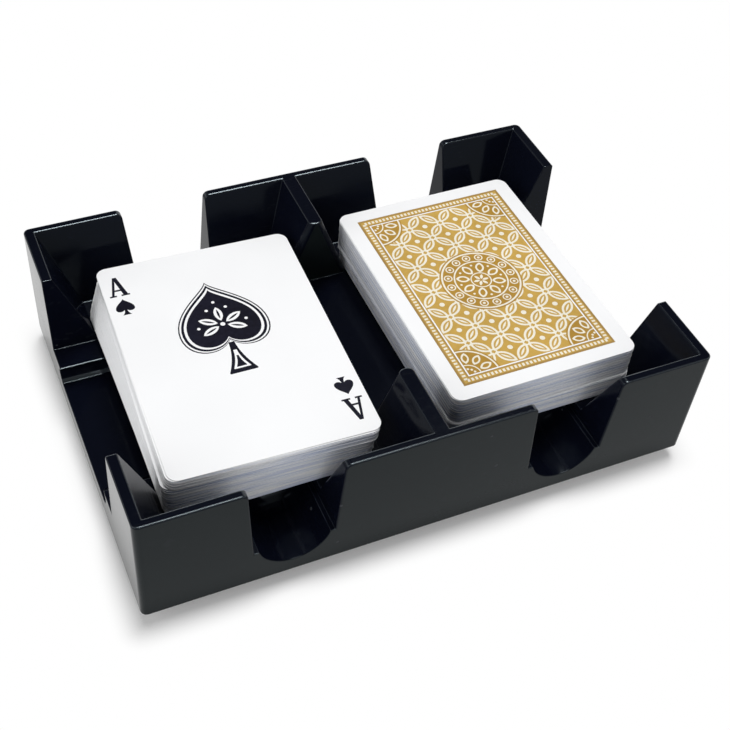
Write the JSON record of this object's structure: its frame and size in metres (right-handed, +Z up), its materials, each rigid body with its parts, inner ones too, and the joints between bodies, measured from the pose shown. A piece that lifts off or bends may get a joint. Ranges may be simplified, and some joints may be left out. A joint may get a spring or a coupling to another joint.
{
  "type": "revolving card tray",
  "caption": "Black plastic table tray with compartments side by side for packs of playing cards, open at the walls for fingers, turning on a low round base.",
  "frame": {"origin": "on the table, under the pivot at the centre of the base", "axes": "+Z up along the pivot, +X to the right along the long side, +Y to the rear"},
  "size_m": [0.1794, 0.1236, 0.0463],
  "materials": {
    "tray_plastic": "polished black moulding with fine scuffs",
    "base_plastic": "fine-textured black moulding",
    "foot_rubber": "soft matt rubber",
    "screw_steel": "zinc-plated steel",
    "washer_nylon": "natural nylon",
    "card_stock": "white coated card with cut edges",
    "card_face": "white coated card, printed in black",
    "card_back": "white coated card, back printed in gold and cream"
  },
  "bodies": {
    "base": {"round_base": "base_plastic", "rubber_feet": "foot_rubber"},
    "tray": {"turning_tray": "tray_plastic", "pivot_screw": "screw_steel", "screw_washer": "screw_steel", "thrust_washer": "washer_nylon"},
    "left_pack": {"left_lower_cards": "card_stock", "left_upper_cards": "card_stock"},
    "left_top": {"left_top_card": "card_face"},
    "right_pack": {"right_lower_cards": "card_stock", "right_upper_cards": "card_stock"},
    "right_top": {"right_top_card": "card_back"}
  },
  "joints": [
    {"name": "tray_turn", "type": "hinge", "parent": "base", "child": "tray", "pos_m": [0, 0, 0.009], "axis": [0, 0, 1], "continuous": true},
    {"name": "left_pack_lift", "type": "slide", "parent": "tray", "child": "left_pack", "axis": [0, 0, 1], "range_m": [0, 0.06]},
    {"name": "right_pack_lift", "type": "slide", "parent": "tray", "child": "right_pack", "axis": [0, 0, 1], "range_m": [0, 0.06]},
    {"name": "left_top_card_lift", "type": "slide", "parent": "left_pack", "child": "left_top", "axis": [0, 0, 1], "range_m": [0, 0.03]},
    {"name": "right_top_card_lift", "type": "slide", "parent": "right_pack", "child": "right_top", "axis": [0, 0, 1], "range_m": [0, 0.03]}
  ]
}
